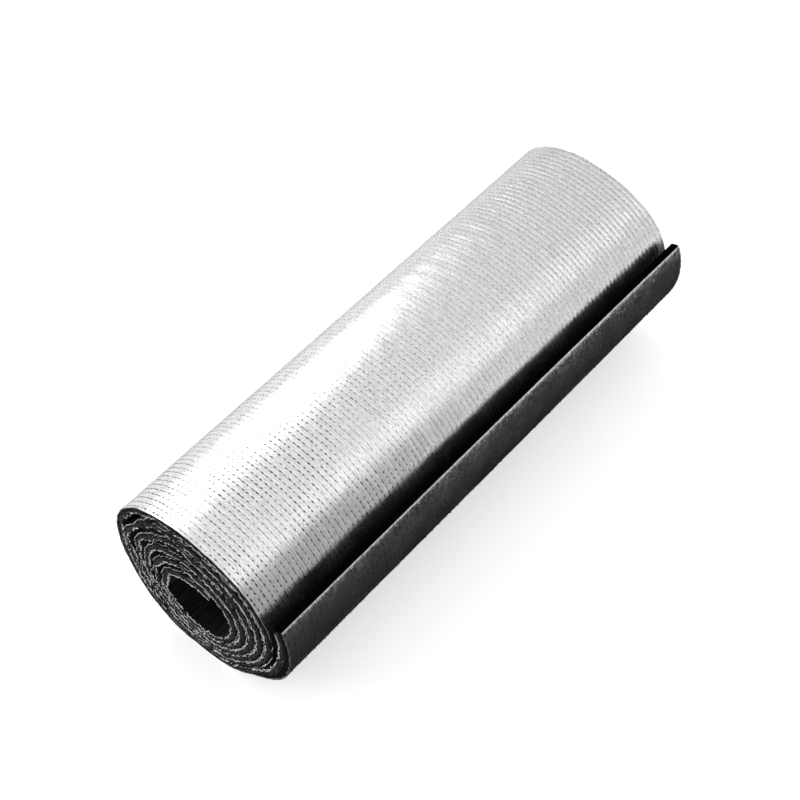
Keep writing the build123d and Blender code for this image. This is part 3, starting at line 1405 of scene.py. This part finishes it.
@dataclass
class Studio:
    """The floor, the lights and the camera. Nothing here is part of the roll.

    Attributes:
        azimuth: The camera's place round the roll, 0 in front and growing towards +X.
        elevation: Its height above the horizon.
        distance: How far it is from what it looks at.
        aim: What it looks at.
        lens: Focal length on a 36 mm wide sensor.
        floor_glow: How brightly the floor shines for the camera and the foil.
        seen_sky: Strength of the world for plain light, and for rays that see it.
        mirrored_sky: Its strength in the foil's mirror, beside the roll and past its ends.
        lamps: Each lamp's name, place, width and height, and watts.
        cards: Each card's name, colour and corners.
    """

    azimuth: float = radians(40.18)
    elevation: float = radians(52.21)
    distance: float = 1442.7 * MM
    aim: tuple[float, float, float] = (-11.1 * MM, -5.7 * MM, 80 * MM)
    lens: float = 78.75
    floor_size: float = 40.0
    floor_gap: float = 0.1 * MM
    floor_glow: float = 0.44
    seen_sky: tuple[float, float] = (0.8, 1.0)
    mirrored_sky: tuple[float, float] = (1.15, 0.7)
    lamps: tuple = (("key", (-0.687, 0.22, 0.603), (0.35, 0.65), 2.1),
                    ("fill", (0.82, 0.75, 1.33), (0.8, 0.8), 0.7),
                    ("front", (-0.7, -1.3, 0.9), (0.6, 0.6), 3.5))
    cards: tuple = (("black_card", "#3e3e3e", ((0.03, -1.5, 0.5 * MM), (2.6, -1.5, 0.5 * MM),
                                               (0.03, 1.2, 0.5 * MM), (0.05, 1.2, 0.5 * MM))),
                    ("grey_card", "#c0c0c0", ((1.05, -0.8, 0.03), (1.05, 0.42, 0.03),
                                              (1.05, -0.8, 1.15), (1.05, 0.62, 1.15))))

    def camera(self) -> None:
        """Sets up the camera at the photograph's angle."""
        back = Vector((sin(self.azimuth) * cos(self.elevation),
                       -cos(self.azimuth) * cos(self.elevation), sin(self.elevation)))
        bpy.ops.object.camera_add(location=Vector(self.aim) + back * self.distance)
        camera = bpy.context.object
        camera.name = "camera"
        camera.rotation_euler = (-back).to_track_quat("-Z", "Y").to_euler()
        camera.data.lens = self.lens
        camera.data.sensor_width = 36.0
        camera.data.clip_end = 100.0
        bpy.context.scene.camera = camera

    def floor(self) -> None:
        """Lays a pale floor that keeps the roll's soft shadow."""
        bpy.ops.object.select_all(action="DESELECT")
        bpy.ops.mesh.primitive_plane_add(size=self.floor_size, location=(0, 0, -self.floor_gap))
        floor = bpy.context.object
        floor.name = "floor"
        made, tree, shader = new_finish("pale_floor", {
            "Base Color": linear("#f4f4f4"), "Roughness": 0.9, "Specular IOR Level": 0.0,
            "Emission Color": linear("#ffffff")})
        glow = calculated(tree, "MULTIPLY", self.seen_rays(tree), self.floor_glow)
        feed(tree, shader, {"Emission Strength": glow})
        floor.data.materials.append(made)

    @staticmethod
    def seen_rays(tree: bpy.types.NodeTree) -> bpy.types.NodeSocket:
        """Gives 1 for rays that see the background, straight, mirrored or through glass.

        Args:
            tree: The material's or world's node tree.

        Returns:
            1 for those rays and 0 for the others.
        """
        rays = add_node(tree, "ShaderNodeLightPath").outputs
        first = calculated(tree, "MAXIMUM", rays["Is Camera Ray"], rays["Is Glossy Ray"])
        return calculated(tree, "MAXIMUM", first, rays["Is Transmission Ray"])

    def world(self) -> None:
        """Surrounds everything with plain soft light on a white background.

        The foil mirrors a sky that is a little darker past the roll's ends than beside it.
        """
        world = bpy.data.worlds.new("studio")
        bpy.context.scene.world = world
        world.use_nodes = True
        tree = world.node_tree
        seen = mapped(tree, self.seen_rays(tree), (0.0, 1.0), self.seen_sky)
        place = add_node(tree, "ShaderNodeTexCoord").outputs["Generated"]
        parts = add_node(tree, "ShaderNodeSeparateXYZ", {"Vector": place}).outputs
        sky = mapped(tree, calculated(tree, "ABSOLUTE", parts["Y"]), (0.2, 0.84), self.mirrored_sky)
        mirrored = add_node(tree, "ShaderNodeLightPath").outputs["Is Glossy Ray"]
        strength = add_node(tree, "ShaderNodeMix", {0: mirrored, 2: seen, 3: sky}, data_type="FLOAT")
        feed(tree, tree.nodes["Background"], {"Color": linear("#ffffff"),
                                              "Strength": strength.outputs[0]})

    def softbox(self, name: str, place: tuple[float, float, float], size: tuple[float, float],
                power: float) -> None:
        """Adds one lamp with a flat face that looks at the roll.

        Args:
            name: The lamp's name.
            place: Where it stands.
            size: Width and height of its face.
            power: Its power in watts.
        """
        bpy.ops.object.light_add(type="AREA", location=place)
        lamp = bpy.context.object
        lamp.name = name
        away = Vector(place) - Vector(self.aim)
        lamp.rotation_euler = (-away).to_track_quat("-Z", "Y").to_euler()
        lamp.data.shape = "RECTANGLE"
        lamp.data.size, lamp.data.size_y = size
        lamp.data.energy = power

    def card(self, name: str, colour: str, corners: tuple) -> None:
        """Sets up a matt card that only the foil mirrors.

        Args:
            name: The card's name.
            colour: Its colour.
            corners: Its four corners, two by two along its opposite edges.
        """
        bpy.ops.object.select_all(action="DESELECT")
        bpy.ops.mesh.primitive_plane_add(size=1)
        card = bpy.context.object
        card.name = name
        set_coordinates(card.data, np.array(corners, float))
        matt = {"Base Color": linear(colour), "Roughness": 1.0, "Specular IOR Level": 0.0}
        card.data.materials.append(new_finish(name, matt)[0])
        card.visible_camera = card.visible_diffuse = card.visible_shadow = False

    def build(self) -> None:
        """Sets up the whole studio."""
        self.camera()
        self.floor()
        self.world()
        for name, colour, corners in self.cards:
            self.card(name, colour, corners)
        for name, place, size, power in self.lamps:
            self.softbox(name, place, size, power)
        bpy.context.scene.view_settings.view_transform = "Standard"


def main() -> None:
    """Builds the roll and the studio round it."""
    logging.basicConfig(level=logging.INFO, format="%(message)s")
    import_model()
    Studio().build()
    mat = WoundMat(Winding())
    fibres = Fibres(mat)
    felt = mat.felt()
    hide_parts("felt_mat")
    foil = mat.foil()
    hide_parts("foil_facing")
    soft = [felt, fibres.tufts(), fibres.fray(Side.FRONT), fibres.fray(Side.BACK),
            fibres.fuzz(Side.FRONT), fibres.fuzz(Side.BACK)]
    for piece in [foil, *soft]:
        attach(piece, "root")
        piece.data.calc_loop_triangles()
        log.info("%s: %d triangles", piece.name, len(piece.data.loop_triangles))
    log.info("flat mat %.3f m long", mat.length)


if __name__ == "__main__":
    main()
